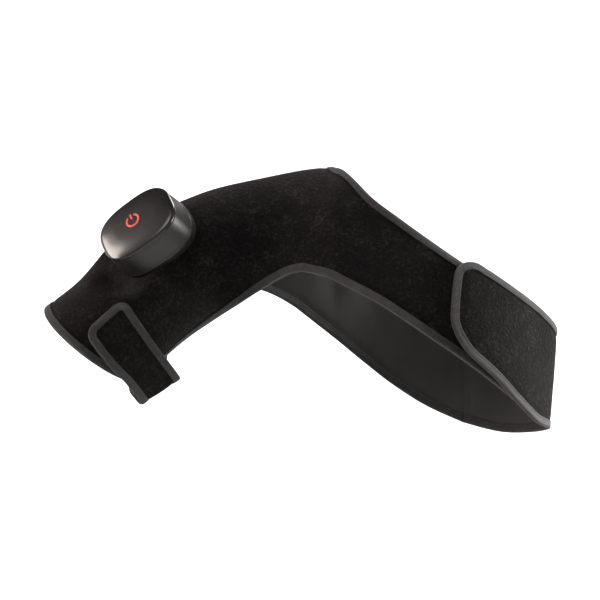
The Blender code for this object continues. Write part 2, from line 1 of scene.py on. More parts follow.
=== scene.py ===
# Looks of the heated shoulder wrap: knitted neoprene, folded tape with its stitches, and the pod.
# Metres, +Z up. Each piece lies where its CAD node is, and takes its sizes from the same tables.
from math import acos, copysign, cos, degrees, pi, radians, sin, tan

import bmesh
import bpy
from mathutils import Matrix, Vector, noise
from mathutils.bvhtree import BVHTree
from mathutils.kdtree import KDTree


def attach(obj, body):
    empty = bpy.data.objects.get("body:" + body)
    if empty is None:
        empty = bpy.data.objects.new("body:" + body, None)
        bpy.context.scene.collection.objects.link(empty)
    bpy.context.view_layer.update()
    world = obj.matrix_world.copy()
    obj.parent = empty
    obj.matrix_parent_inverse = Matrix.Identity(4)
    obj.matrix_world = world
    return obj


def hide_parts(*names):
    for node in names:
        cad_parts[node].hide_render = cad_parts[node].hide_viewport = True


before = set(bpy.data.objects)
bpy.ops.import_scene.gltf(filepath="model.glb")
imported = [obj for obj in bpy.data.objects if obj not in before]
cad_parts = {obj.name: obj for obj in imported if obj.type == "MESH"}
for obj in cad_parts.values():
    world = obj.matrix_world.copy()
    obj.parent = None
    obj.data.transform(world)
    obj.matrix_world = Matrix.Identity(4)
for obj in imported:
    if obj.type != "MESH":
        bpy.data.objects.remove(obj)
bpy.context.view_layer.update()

# The loop round the torso
LOOP_REACH = 0.2715       # from the origin to the outside of the far fold
LOOP_NEAR = 0.0600        # from the origin to where the loop's curve closes under the near arm
LOOP_DEPTH = 0.1660       # chest to back, outside
LOOP_SET_BACK = 0.0050    # the loop's middle lies this far behind the origin
LOOP_PINCH = 0.60         # how much the loop narrows towards the far fold
BAND_WIDTH = 0.1100       # upright width of the band
BAND_DROP = 0.2120        # from the origin down to the band's middle at the far fold
FOLD_LEAN = 0.0130        # how far the fold leans in at its lower edge
FRONT_END = -40.0         # degrees round the loop, where the front band ends under the strap
STRAP_SEAM = 62.0         # degrees round the loop, where the chest strap is sewn to the back band
STRAP_END = -71.5         # degrees round the loop, where the chest strap ends on the chest
STRAP_CORNER = 0.0260     # corner radius of the chest strap's end

# The sleeve and the shoulder cap
SLEEVE_REACH = 0.2400     # from the origin to the hem's outer corner
SLEEVE_DROP = 0.2140      # from the origin down to the hem's lower corner
CAP_DEPTH = 0.0780        # from the shoulder's ridge to the chest or the back

# The cloth and its edges
WALL = 0.0040             # neoprene with its two knitted faces
GAP = 0.0003              # between pieces that touch
TAPE = 0.0010             # thickness of the binding tape
INSET = 0.0120            # from an edge to the first row of a net, clear of the tape
PANEL_STEPS = 9           # rows of the part's own net across the sleeve
NECK_STEPS = 2            # how many of them end on the neck edge, above the band
HOOK_WALL = 0.0032        # hooks and the loops that they press into

# The arm strap
ARM_STRAP_WIDTH = 0.0445
ARM_STRAP_WALL = 0.0026
ARM_STRAP_CORNER = 0.0100
ARM_STRAP_SLANT = 19.0    # degrees off square to the sleeve
ARM_STRAP_TILT = 9.0      # degrees that its fold is off the line of the sleeve's edge
ARM_STRAP_FRONT = 0.1050  # from its free end to its fold
ARM_STRAP_LEAVES = 0.70   # share of the way round the sleeve's chest side, where it leaves it
ARM_STRAP_HEM = 0.0064    # from the line of the hem to the middle of its fold
ARM_STRAP_HANG = 0.0225   # how far its fold hangs below the sleeve's edge
ARM_STRAP_AHEAD = 0.0064  # how far that fold stands ahead of the sleeve's edge
ARM_STRAP_BEND = 0.0045   # radius of that fold
ARM_STRAP_LAP = 0.0150    # how far its sewn end laps the sleeve's back edge

# The control pod
POD_LENGTH = 0.0870
POD_WIDTH = 0.0672
POD_HEIGHT = 0.0365       # from the cloth to the top of the lid
POD_SQUARENESS = 2.8      # exponent of its rounded outline
POD_BASE_HEIGHT = 0.0050
POD_LID_HEIGHT = 0.0060
POD_TAPER = 0.0022        # how far the housing draws in on each side, bottom to top
POD_SECTION = 2.55        # which section of the sleeve it sits on, in rows from the hem
POD_ROUND = 0.0605        # from the ridge round to the pod's middle
POD_SETTLE = 0.0065       # how far the cloth is pressed flat under it
POD_SKIRT = 0.0090        # the furthest that its flange follows the cloth down
POD_FLAT = 1.28           # how far out the cloth is flat, in shares of its outline
POD_EASE = 1.75           # how far out the cloth is bent by it, in shares of its outline
POD_FACING = (-0.46, -0.87, 0.17)
POD_LONG_WAY = (0.80, -0.33, 0.50)

CAP_COLUMNS = 100         # the finer net of the looks
NECK_ROWS = 12
BAND_ROWS = 42
BAND_COLUMNS = 72
JOIN_ROWS = 1.0           # how far the band takes on the cap's own curve, in rows
STRAP_TURNS = 14          # steps round a strap's corner
MARK_AT = (-0.0015, 0.0035)   # the red mark's middle on the lid
MARK_RADIUS = 0.0066
MARK_LINE = 0.0019
MARK_GAP = 32.0           # degrees that the ring is open on each side of the bar
MARK_RISE = 0.00015
FLOOR = -1.20

# Only in the looks
PINCH = 0.66              # share of its wall that the neoprene keeps under the tape
PINCH_ENDS = 0.0135       # from an edge to where the wall is full again
TAPE_WALL = 0.0008
TAPE_CLEAR = 0.00012      # between the tape and the cloth in it
TAPE_LAYS = 0.0068        # how much of the tape lies on each face
STITCH_DEPTH = 0.0050     # from the edge to the row of stitches
STITCH_PITCH = 0.0031
STITCH_LENGTH = 0.0022
THREAD = 0.00050
SWELL = 0.00045           # how far the cloth waves in and out
SWELL_LENGTH = 0.030
PUCKER = 0.00022          # the small gathers beside the stitches
PUCKER_LENGTH = 0.0085
LID_FACETS = 160
RING_STEPS = 4            # steps between two rings of the pod
CROWN_STEPS = 8           # steps from the lid's rim to its middle
MERGE = 0.00002           # vertices closer than this are one
BUNCHING = 0.55           # how much closer the steps are at both ends of a row
TAPE_TURNS = 7            # steps of the tape round the cloth's edge
TAPE_LIP = 0.0006         # cloth beside the tape that stays pinched
TAPE_TRIM = 0.0008        # from a tape's cut end to the tape that crosses it
STITCH_START = 0.8        # the first stitch's middle, in pitches
STITCH_RISE = 0.15        # how far a stitch's middle stands above the cloth, in threads
JOIN_EASED = 0.012        # how far beside a join the cloth is smoothed
EASE_ROUNDS = 14
SEAM_LAPS = 0.0008        # how far a seam's filling goes into each side
SEAM_ROWS = 30
CHEST_STRAP_NET = (96, 40)    # steps along the strap and across it
ARM_STRAP_NET = (110, 18)
STRAP_SLANT = 0.011       # how far the chest strap's upper corner is set back
SLANT_ENDS = 0.075        # from the strap's end to where that has died away

# The room is a round floor that bends up into a wall
ROOM_FLAT = 2.2           # radius of the flat floor
ROOM_BEND = 1.2
ROOM_TOP = 4.2
ROOM_FACETS = 96
ROOM_STEPS = 12
AIM = (0.05, 0.0, -0.12)
SQUARE = (0.5, 0.5)
LIGHTS = [
    # name, place, what it is aimed at, size, power in watts, colour
    ("wall_light_low", (0.0, 1.3, -0.95), (0.0, 3.3, 0.8), (2.6, 0.5), 75, (1.0, 1.0, 1.0)),
    ("wall_light_high", (0.0, 1.5, 1.75), (0.0, 3.4, 0.9), (2.6, 0.5), 90, (1.0, 1.0, 1.0)),
    ("right_light", (1.35, 0.0, -0.12), AIM, SQUARE, 38, (1.0, 0.97, 0.94)),
    ("top_light", (0.495, 0.0, 1.10), AIM, SQUARE, 22, (1.0, 0.96, 0.92)),
    ("rim_light", (1.176, 0.65, -0.12), AIM, SQUARE, 9, (1.0, 1.0, 1.0)),
    ("front_light", (-0.561, -1.058, 0.325), AIM, SQUARE, 4, (1.0, 1.0, 1.0)),
    ("left_light", (-1.25, -0.30, 0.10), (-0.12, -0.02, -0.08), (0.5, 0.9), 26, (1.0, 0.86, 0.78)),
]

# The sleeve and the cap, a row for each section from the hem to the neck corner. The ridge
# and the two free edges are x, y and z in shares of SLEEVE_REACH, CAP_DEPTH and SLEEVE_DROP.
# A turn is the cloth's slope at an edge in degrees: 90 hangs straight down, 180 has curled
# right under the arm. A tip is how far the section leans, in degrees.
SHOULDER_ROWS = [
    # ridge x, y, z           chest edge x, y, z, turn       back edge x, y, z, turn         tip
    ((-0.983, -0.15, -0.680), (-0.612, 0.15, -0.990, 170.0), (-0.705, 0.60, -0.870, 130.0), 30.0),
    ((-0.848, -0.06, -0.530), (-0.530, 0.13, -0.905, 168.0), (-0.615, 0.64, -0.775, 128.0), 24.0),
    ((-0.690, 0.00, -0.297), (-0.415, 0.10, -0.792, 160.0), (-0.490, 0.69, -0.630, 124.0), 17.0),
    ((-0.520, 0.00, -0.178), (-0.295, 0.06, -0.700, 150.0), (-0.360, 0.75, -0.500, 116.0), 10.0),
    ((-0.350, 0.04, -0.088), (-0.195, -0.06, -0.643, 136.0), (-0.270, 0.81, -0.452, 106.0), 5.0),
    ((-0.185, 0.06, -0.036), (-0.115, -0.23, -0.606, 116.0), (-0.185, 0.86, -0.440, 98.0), 0.0),
    ((0.000, 0.06, 0.010), (-0.035, -0.48, -0.582, 101.0), (-0.105, 0.88, -0.445, 93.0), 0.0),
    ((0.120, 0.06, 0.032), (0.020, -0.66, -0.574, 93.0), (-0.025, 0.92, -0.480, 90.0), 0.0),
    ((0.212, 0.06, 0.040), (0.070, -0.76, -0.576, 90.0), (0.045, 0.96, -0.525, 90.0), 0.0),
]

# The neck corner, where the neck edge comes down to the band, on the chest side and on the back
CHEST_CORNER_ROWS = [
    # neck edge x, y, z, turn       lower edge x, y, z, turn
    ((0.238, -0.62, -0.058, 48.0), (0.172, -0.85, -0.617, 90.0)),
    ((0.286, -0.78, -0.137, 72.0), (0.236, -0.87, -0.658, 90.0)),
]
BACK_CORNER_ROWS = [
    ((0.238, 0.72, -0.058, 48.0), (0.170, 1.02, -0.634, 90.0)),
    ((0.286, 0.92, -0.137, 74.0), (0.236, 1.05, -0.692, 90.0)),
]

# The front band, a row for each section: degrees round the loop, the band's middle in shares
# of BAND_DROP and its width in shares of BAND_WIDTH
FRONT_ROWS = [
    (-97.0, 0.494, 0.955),
    (-88.0, 0.585, 0.920),
    (-79.0, 0.672, 0.905),
    (-70.0, 0.748, 0.895),
    (-60.0, 0.818, 0.895),
    (-50.0, 0.875, 0.900),
    (-40.0, 0.918, 0.900),
]

# The back band and the chest strap, from the back round the far fold to the chest
BACK_ROWS = [
    (98.0, 0.552, 0.960),
    (88.0, 0.665, 0.950),
    (76.0, 0.775, 0.955),
    (62.0, 0.868, 0.965),
    (44.0, 0.940, 0.985),
    (24.0, 0.980, 0.965),
    (0.0, 1.000, 0.925),
    (-16.0, 0.988, 0.985),
    (-30.0, 0.962, 1.045),
    (-44.0, 0.905, 1.015),
    (-57.0, 0.820, 0.938),
    (-67.0, 0.748, 0.902),
    (-77.0, 0.668, 0.888),
]

HOUSING_RINGS = [
    # in, share of POD_TAPER    height, share of the housing's own height
    (0.00, 0.00),
    (0.05, 0.10),
    (0.45, 0.55),
    (1.00, 0.96),
    (1.40, 1.00),
]
LID_RINGS = [
    # in, share of POD_LID_HEIGHT    height, share of POD_LID_HEIGHT
    (0.10, 0.00),
    (0.00, 0.10),
    (0.02, 0.34),
    (0.18, 0.56),
    (0.60, 0.74),
    (1.60, 0.88),
    (2.90, 0.97),
]
# The tape's relief from its inner lip to the edge: share of its width, and how far that place
# stands above or below its plain face
TAPE_RELIEF = [
    (1.00, 0.00000),
    (0.94, 0.00012),
    (0.84, 0.00008),
    (0.735, -0.00016),
    (0.63, 0.00008),
    (0.36, 0.00014),
    (0.10, 0.00006),
]


def spline(rows, place):
    """The row at a place from 0 to the last index, on a smooth curve through all the rows."""
    last = len(rows) - 1
    if place < 0:
        return [a + (b - a) * place for a, b in zip(rows[0], rows[1])]
    i = min(int(place), last - 1)
    t = place - i
    before = rows[max(i - 1, 0)]
    after = rows[min(i + 2, last)]
    return [
        b + 0.5 * t * (c - a + t * (2 * a - 5 * b + 4 * c - d + t * (3 * (b - c) + d - a)))
        for a, b, c, d in zip(before, rows[i], rows[i + 1], after)
    ]


def loop_place(angle, share, inward):
    """x and y on the loop: degrees round it, share of the way down the band, and how far in
    from the outside of the strap."""
    def outside(turn):
        lean = FOLD_LEAN * share * max(0.0, cos(turn)) ** 2
        pinch = 1 - LOOP_PINCH * max(0.0, cos(turn)) ** 4
        x = (LOOP_REACH - LOOP_NEAR) / 2 + ((LOOP_REACH + LOOP_NEAR) / 2 - lean) * cos(turn)
        return Vector((x, LOOP_SET_BACK + LOOP_DEPTH / 2 * sin(turn) * pinch))
    turn = radians(angle)
    way = (outside(turn + 0.01) - outside(turn - 0.01)).normalized()
    return outside(turn) - Vector((way.y, -way.x)) * inward


def band_point(rows, angle, across, inward):
    """A point of the band's middle surface: across is 0 at the neck edge and 1 below."""
    order = 1 if rows[-1][0] > rows[0][0] else -1
    i = 0
    while i < len(rows) - 2 and (rows[i + 1][0] - angle) * order < 0:
        i += 1
    place = i + (angle - rows[i][0]) / (rows[i + 1][0] - rows[i][0])
    _, middle, width = spline(rows, place)
    x, y = loop_place(angle, across, inward)
    return Vector((x, y, -middle * BAND_DROP + (0.5 - across) * width * BAND_WIDTH))


def section(top, low, out, turn_top, turn_low):
    """A curve from top to low, as near to an arc as its slopes at the two ends allow."""
    chord = low - top
    down = (chord - out * chord.dot(out)).normalized()
    start = out * cos(turn_top) + down * sin(turn_top)
    end = out * cos(turn_low) + down * sin(turn_low)
    sweep = turn_low - turn_top
    handle = chord.length / 3
    if abs(sweep) > 0.01:
        handle = chord.length * 2 / 3 * tan(sweep / 4) / sin(sweep / 2)
    return bezier(top, top + start * handle, low - end * handle, low, 40)


def bezier(a, b, c, d, steps):
    points = []
    for i in range(steps + 1):
        t = i / steps
        s = 1 - t
        points.append(a * s ** 3 + b * 3 * s * s * t + c * 3 * s * t * t + d * t ** 3)
    return points


def run_length(points):
    return sum((b - a).length for a, b in zip(points, points[1:]))


def along(points, length):
    """The point at a length along a run of points; the last step carries on past its end."""
    for a, b in zip(points, points[1:]):
        step = (b - a).length
        if length <= step:
            break
        length -= step
    else:
        length += step
    return a + (b - a) * (length / step)


def panel_rows(side):
    """The sleeve's and the cap's sections from the hem to the ridge's end: side -1 is the
    chest, 1 the back."""
    size = Vector((SLEEVE_REACH, CAP_DEPTH, SLEEVE_DROP))
    rows = []
    for ridge, chest, back, tip in SHOULDER_ROWS:
        edge = chest if side < 0 else back
        top = [a * b for a, b in zip(ridge, size)]
        low = [a * b for a, b in zip(edge[:3], size)]
        rows.append([*top, *low, 0.0, edge[3], tip])
    return rows


def band_rows(side):
    """The band's sections, from where the last section of the cap leaves the neck edge."""
    size = Vector((SLEEVE_REACH, CAP_DEPTH, SLEEVE_DROP))
    last = panel_rows(side)[-1]
    points = panel_section([last, last], side, 0.0)
    length = run_length(points)
    leaves = length * net_shares(length, PANEL_STEPS)[NECK_STEPS]
    top = along(points, leaves)
    way = (along(points, leaves + GAP) - top).normalized()
    tip = radians(last[8])
    turn = degrees(acos(way.dot(Vector((0.0, side * cos(tip), side * sin(tip))))))
    rows = [[*top, *last[3:6], turn, *last[7:]]]
    for neck, edge in CHEST_CORNER_ROWS if side < 0 else BACK_CORNER_ROWS:
        top = [a * b for a, b in zip(neck[:3], size)]
        low = [a * b for a, b in zip(edge[:3], size)]
        rows.append([*top, *low, neck[3], edge[3], 0.0])
    table, end, inward = BACK_ROWS, STRAP_SEAM, WALL / 2
    if side < 0:
        table, end, inward = FRONT_ROWS, FRONT_END, WALL * 1.5 + HOOK_WALL + 2 * GAP
    angles = [row[0] for row in table if (row[0] - end) * side > 2.0] + [end]
    for angle in angles:
        top = band_point(table, angle, 0.0, inward)
        low = band_point(table, angle, 1.0, inward)
        rows.append([*top, *low, 90.0, 90.0, 0.0])
    return rows


def panel_section(rows, side, place):
    values = spline(rows, place)
    tip = radians(values[8])
    out = Vector((0.0, side * cos(tip), side * sin(tip)))
    return section(
        Vector(values[0:3]), Vector(values[3:6]), out, radians(values[6]), radians(values[7])
    )


def net_shares(length, count):
    """Shares of a length: the two insets clear of the tape, and even steps between them."""
    edge = min(INSET / length, 0.28)
    return [0.0] + [edge + (1 - 2 * edge) * i / count for i in range(count + 1)] + [1.0]


def pod_frame():
    """Where the pod sits: a point on the bare sleeve's middle surface and its three axes."""
    middle = along(panel_section(panel_rows(-1), -1, POD_SECTION), POD_ROUND)
    up = Vector(POD_FACING).normalized()
    long_way = Vector(POD_LONG_WAY)
    long_way = (long_way - up * long_way.dot(up)).normalized()
    return middle, long_way, up.cross(long_way), up


POD_AT = pod_frame()


def pressed_flat(point):
    """The cloth that stands up under the pod is pressed flat by it, and eases off round it."""
    middle, long_way, short_way, up = POD_AT
    step = point - middle
    height = step.dot(up)
    if height < -POD_WIDTH:
        return point
    reach = (abs(step.dot(long_way) / POD_LENGTH * 2) ** POD_SQUARENESS
             + abs(step.dot(short_way) / POD_WIDTH * 2) ** POD_SQUARENESS) ** (1 / POD_SQUARENESS)
    ease = min(max((POD_EASE - reach) / (POD_EASE - POD_FLAT), 0.0), 1.0)
    ease = ease * ease * (3 - 2 * ease)
    return point - up * max(height + POD_SETTLE, 0.0) * ease


def even_places(start, end, step):
    count = max(1, round((end - start) / step))
    return [start + (end - start) * i / count for i in range(count + 1)]


def chest_ribbon():
    inward = WALL / 2
    angles = [STRAP_END + 0.5 * i for i in range(round((STRAP_SEAM - STRAP_END) * 2) + 1)]
    spine = [band_point(BACK_ROWS, angle, 0.5, inward) for angle in angles]
    lengths = [0.0]
    for a, b in zip(spine, spine[1:]):
        lengths.append(lengths[-1] + (b.xy - a.xy).length)

    def angle_at(s):
        i = 0
        while i < len(lengths) - 2 and lengths[i + 1] < s:
            i += 1
        return angles[i] + 0.5 * (s - lengths[i]) / (lengths[i + 1] - lengths[i])

    def half_width(s):
        angle = angle_at(s)
        top = band_point(BACK_ROWS, angle, 0.0, inward)
        low = band_point(BACK_ROWS, angle, 1.0, inward)
        return (top.z - low.z) / 2

    def point(s, w):
        return band_point(BACK_ROWS, angle_at(s), 0.5 - w / 2 / half_width(s), inward)

    places = even_places(STRAP_CORNER, lengths[-1] - 2 * GAP, 0.0125)
    return Ribbon(point, places, half_width, STRAP_CORNER)


def arm_ribbon():
    """The arm strap lies on the sleeve's chest side, hangs clear of its edge, folds, and goes
    up to the sleeve's back edge."""
    chest_rows, back_rows = panel_rows(-1), panel_rows(1)
    lift = WALL / 2 + HOOK_WALL + 2 * GAP + ARM_STRAP_WALL / 2
    sewn_lift = WALL / 2 + TAPE * 3.4 + 2 * GAP + ARM_STRAP_WALL / 2
    slant, tilt = radians(ARM_STRAP_SLANT), radians(ARM_STRAP_TILT)
    bend_steps = 8
    sewn_steps = 8

    def offset(points, axis, distance):
        moved = []
        for i, point in enumerate(points):
            way = points[min(i + 1, len(points) - 1)] - points[max(i - 1, 0)]
            moved.append(point + way.cross(axis).normalized() * distance)
        return moved

    def track(place, hang):
        """The strap's run in one section of the sleeve, and the length of it to the fold."""
        values = spline(chest_rows, place)
        chest = panel_section(chest_rows, -1, place)
        back = panel_section(back_rows, 1, place)
        axis = (Vector(spline(chest_rows, place + 0.5)[0:3]) - Vector(values[0:3])).normalized()
        leave = round(ARM_STRAP_LEAVES * (len(chest) - 1))
        points = offset(chest, axis, lift)[:leave + 1]
        lean = radians(values[8])
        out = Vector((0.0, -cos(lean), -sin(lean)))
        down = chest[-1] - chest[0]
        down = (down - out * down.dot(out)).normalized()
        tip_of_fold = chest[-1] + down * hang + out * ARM_STRAP_AHEAD
        down = (tip_of_fold - points[-1]).normalized()
        out = down.cross(axis).normalized()
        fold = tip_of_fold - down * ARM_STRAP_BEND
        outside = fold + out * ARM_STRAP_BEND
        inside = fold - out * ARM_STRAP_BEND
        way = (points[-1] - points[-2]).normalized()
        reach = (outside - points[-1]).length / 3
        points += bezier(
            points[-1], points[-1] + way * reach, outside - down * reach, outside, 16)[1:]
        for i in range(1, bend_steps):
            turn = pi * i / bend_steps
            points.append(fold + (out * cos(turn) + down * sin(turn)) * ARM_STRAP_BEND)
        to_fold = run_length(points[:1 - bend_steps // 2])
        sewn = offset(back, axis, -sewn_lift)[::-1]
        way = (sewn[1] - sewn[0]).normalized()
        reach = (sewn[0] - inside).length / 3
        points += bezier(inside, inside - down * reach, sewn[0] - way * reach, sewn[0], 12)
        return points + sewn[1:sewn_steps], to_fold

    (near_hem, near_fold), (next_one, next_fold) = [track(i, ARM_STRAP_HANG) for i in (0.0, 1.0)]

    def point(s, w):
        past = s - ARM_STRAP_FRONT
        run = past / cos(slant)
        step = (along(next_one, next_fold + run) - along(near_hem, near_fold + run)).length
        from_hem = ARM_STRAP_HEM + abs(past) * sin(slant) + w * cos(slant)
        points, fold = track(
            from_hem / step, ARM_STRAP_HANG + (from_hem - ARM_STRAP_HEM) * tan(tilt))
        return along(points, fold + run)

    length = ARM_STRAP_FRONT + run_length(near_hem) - near_fold
    length -= run_length(near_hem[-sewn_steps:]) - ARM_STRAP_LAP
    places = even_places(ARM_STRAP_CORNER, ARM_STRAP_FRONT - 0.012, 0.010)
    places += even_places(ARM_STRAP_FRONT - 0.009, ARM_STRAP_FRONT + 0.009, 0.003)
    places += even_places(ARM_STRAP_FRONT + 0.014, length, 0.010)
    return Ribbon(point, places, lambda s: ARM_STRAP_WIDTH / 2, ARM_STRAP_CORNER)


# Cloth as bmesh grids

def new_piece(name, bm, finish, stands_for=()):
    """A piece of the wrap from a bmesh, with its finishes, riding on the root body."""
    mesh = bpy.data.meshes.new(name)
    bm.to_mesh(mesh)
    bm.free()
    mesh.shade_smooth()
    piece = bpy.data.objects.new(name, mesh)
    bpy.context.scene.collection.objects.link(piece)
    for material in finish:
        mesh.materials.append(material)
    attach(piece, "root")
    if stands_for:
        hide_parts(*stands_for)
    return piece


def lay_grid(bm, ahead, across, place):
    """A grid in bm, each vertex moved to place(i, j). Its faces point to ahead x across."""
    made = bmesh.ops.create_grid(bm, x_segments=ahead, y_segments=across, size=0.5)
    for vert in made["verts"]:
        i = round((vert.co.x + 0.5) * ahead)
        j = round((vert.co.y + 0.5) * across)
        vert.co = place(i, j)
    return made["verts"]


def add_wall(piece, thickness, offset, even=False):
    """A wall on a surface: offset -1 puts it inside, 0 on both sides and 1 outside."""
    wall = piece.modifiers.new("wall", "SOLIDIFY")
    wall.thickness = thickness
    wall.offset = offset
    wall.use_quality_normals = even
    return wall


def close_seam(name, ribbon):
    """Knit that fills the seam between a strap's sewn end and the band, a little recessed."""
    def place(i, j):
        across = (2 * j / SEAM_ROWS - 1) * (ribbon.half_width(ribbon.end) - TAPE_LAYS * 0.5)
        end = ribbon.point(ribbon.end, across)
        ahead = (end - ribbon.point(ribbon.end - 0.002, across)).normalized()
        return end + ahead * (i * (GAP + 2 * SEAM_LAPS) / 2 - SEAM_LAPS)

    bm = bmesh.new()
    lay_grid(bm, 2, SEAM_ROWS, place)
    seam = new_piece(name, bm, [lining])
    add_wall(seam, WALL - SEAM_LAPS, 0.0)
    return seam


def bunched(share):
    """Steps from 0 to 1 that are closer together near both ends."""
    return share - BUNCHING * sin(2 * pi * share) / (2 * pi)


def nearby(places):
    """A tree that finds the nearest of these places."""
    tree = KDTree(len(places))
    for i, place in enumerate(places):
        tree.insert(place, i)
    tree.balance()
    return tree


class Cloth:
    """The middle surface of a sheet: its bmesh, its edge as one loop, and the way back to it."""

    def __init__(self, bm, joins=()):
        bmesh.ops.remove_doubles(bm, verts=bm.verts[:], dist=MERGE)
        if joins:
            self.ease(bm, joins)
        bm.normal_update()
        self.bm = bm
        self.tree = BVHTree.FromBMesh(bm)
        following = {}
        for edge in bm.edges:
            if edge.is_boundary:
                loop = edge.link_loops[0]
                following[loop.vert] = loop.link_loop_next.vert
        vert = next(iter(following))
        self.edge = []
        for _ in range(len(following)):
            self.edge.append((vert.co.copy(), vert.normal.copy()))
            vert = following[vert]

    @staticmethod
    def ease(bm, joins):
        """Smooths the cloth beside its joins, but not its edge."""
        near = nearby(joins)
        beside = [vert for vert in bm.verts
                  if not vert.is_boundary and near.find(vert.co)[2] < JOIN_EASED]
        for _ in range(EASE_ROUNDS):
            bmesh.ops.smooth_vert(bm, verts=beside, factor=0.5, use_axis_x=True, use_axis_y=True,
                                  use_axis_z=True)

    def run(self, start, end):
        """The edge from the place nearest start to the one nearest end."""
        def nearest(point):
            return min(range(len(self.edge)), key=lambda i: (self.edge[i][0] - point).length)
        first, last = nearest(start), nearest(end)
        if last <= first:
            last += len(self.edge)
        return [self.edge[i % len(self.edge)] for i in range(first, last + 1)]

    def puff(self):
        """Waves and gathers, and how full the wall is at each vertex."""
        near = nearby([place for place, _ in self.edge])
        full = []
        for vert in self.bm.verts:
            distance = near.find(vert.co)[2]
            rise = (distance - TAPE_LAYS - TAPE_LIP) / (PINCH_ENDS - TAPE_LAYS)
            rise = min(max(rise, 0.0), 1.0)
            full.append(rise * rise * (3 - 2 * rise))
        moves = []
        for vert, share in zip(self.bm.verts, full):
            wave = noise.noise(vert.co / SWELL_LENGTH)
            gather = noise.noise(vert.co / PUCKER_LENGTH + Vector((7.0, 3.0, 5.0)))
            beside = 4 * share * (1 - share)
            moves.append(vert.normal * (wave * SWELL * share + gather * PUCKER * beside))
        for vert, move in zip(self.bm.verts, moves):
            vert.co += move
        return full

    def sew(self, name, wall, stands_for):
        """The sheet as a piece: the middle surface with a wall, thinner under its tape."""
        full = self.puff()
        piece = new_piece(name, self.bm, [pile, lining], [stands_for])
        group = piece.vertex_groups.new(name="full_wall")
        for i, share in enumerate(full):
            group.add([i], share, "REPLACE")
        thick = add_wall(piece, wall, 0.0, even=True)
        thick.vertex_group = group.name
        thick.thickness_vertex_group = PINCH
        thick.material_offset = 1
        thick.material_offset_rim = 1
        return piece


def tape_stations(cloth, run):
    """For each place of a run of the edge: the place, its normal, the way into the cloth, and
    the place and normal of the cloth further in."""
    stations = []
    for i, (place, _) in enumerate(run):
        normal = Vector()
        ahead = Vector()
        for k in (-2, -1, 0, 1, 2):
            near = min(max(i + k, 0), len(run) - 1)
            normal += run[near][1]
            if 0 < near < len(run) - 1:
                ahead += (run[near + 1][0] - run[near - 1][0]).normalized()
        normal.normalize()
        ahead = (ahead - normal * ahead.dot(normal)).normalized()
        inward = normal.cross(ahead).normalized()
        found = cloth.tree.find_nearest(place + inward * TAPE_LAYS)
        stations.append((place, normal, inward, found[0], found[1]))
    return stations


def folded_tape(name, cloth, run, wall, node, relief_share=1.0):
    """Ribbed tape folded over a run of a cloth's edge, and the stitches along both its faces."""
    half = wall * PINCH / 2 + TAPE_CLEAR
    stations = tape_stations(cloth, run)
    profile = [(share, lift * relief_share) for share, lift in TAPE_RELIEF]
    lengths = [0.0]
    for a, b in zip(stations, stations[1:]):
        lengths.append(lengths[-1] + (b[0] - a[0]).length)

    def place_at(station, depth, side, lift=0.0):
        place, normal, _, inside, inside_normal = station
        share = depth / TAPE_LAYS
        over = normal.lerp(inside_normal, share).normalized()
        return place.lerp(inside, share) + over * side * (half + lift)

    def place(i, j):
        station = stations[i]
        last = len(profile) - 1
        if j <= last:
            share, lift = profile[j]
            return place_at(station, share * TAPE_LAYS, -1, lift)
        if j >= last + TAPE_TURNS:
            share, lift = profile[last - (j - last - TAPE_TURNS)]
            return place_at(station, share * TAPE_LAYS, 1, lift)
        depth = profile[last][0] * TAPE_LAYS
        turn = pi * (j - last) / TAPE_TURNS
        spot, normal, inward = station[:3]
        return (spot + inward * (depth - sin(turn) * (depth + TAPE_CLEAR))
                - normal * cos(turn) * half)

    across = 2 * (len(profile) - 1) + TAPE_TURNS
    bm = bmesh.new()
    verts = lay_grid(bm, len(stations) - 1, across, lambda i, j: Vector((i, j, 0)))
    layer = bm.loops.layers.uv.new("tape")
    spots = {vert: (round(vert.co.x), round(vert.co.y)) for vert in verts}
    for face in bm.faces:
        for loop in face.loops:
            i, j = spots[loop.vert]
            loop[layer].uv = (lengths[i], j * TAPE_LAYS / len(profile))
    for vert, (i, j) in spots.items():
        vert.co = place(i, j)
    tape = new_piece(name, bm, [ribbed_tape], [node])
    add_wall(tape, TAPE_WALL, 1.0, even=True)

    stitches = []
    count = int((lengths[-1] - STITCH_PITCH) / STITCH_PITCH)
    k = 0
    for n in range(count):
        middle = STITCH_PITCH * (n + STITCH_START)
        while k < len(lengths) - 2 and lengths[k + 1] < middle:
            k += 1
        share = (middle - lengths[k]) / (lengths[k + 1] - lengths[k])
        for side in (-1, 1):
            a, b = (place_at(stations[m], STITCH_DEPTH, side, TAPE_WALL) for m in (k, k + 1))
            stitches.append(stitch_place(a.lerp(b, share), b - a, stations[k][1] * side))
    return tape, sew_stitches(name + "_stitches", stitches)


def stitch_place(middle, way, up):
    """Where one stitch lies: along a way, a little sunk into the cloth on its up side."""
    way = way.normalized()
    up = (up - way * up.dot(way)).normalized()
    side = up.cross(way)
    middle = middle + up * THREAD * STITCH_RISE
    return Matrix.Translation(middle) @ Matrix((side, up, way)).transposed().to_4x4()


def sew_stitches(name, places):
    """Beads of thread at these places, each long and thin with its ends in the cloth."""
    bm = bmesh.new()
    bmesh.ops.create_uvsphere(bm, u_segments=6, v_segments=5, radius=0.5)
    bmesh.ops.scale(bm, vec=(THREAD, THREAD, STITCH_LENGTH), verts=bm.verts[:])
    bead = bpy.data.meshes.new("bead")
    bm.to_mesh(bead)
    bm.free()
    bm = bmesh.new()
    for place in places:
        laid = bead.copy()
        laid.transform(place)
        bm.from_mesh(laid)
        bpy.data.meshes.remove(laid)
    bpy.data.meshes.remove(bead)
    return new_piece(name, bm, [thread])


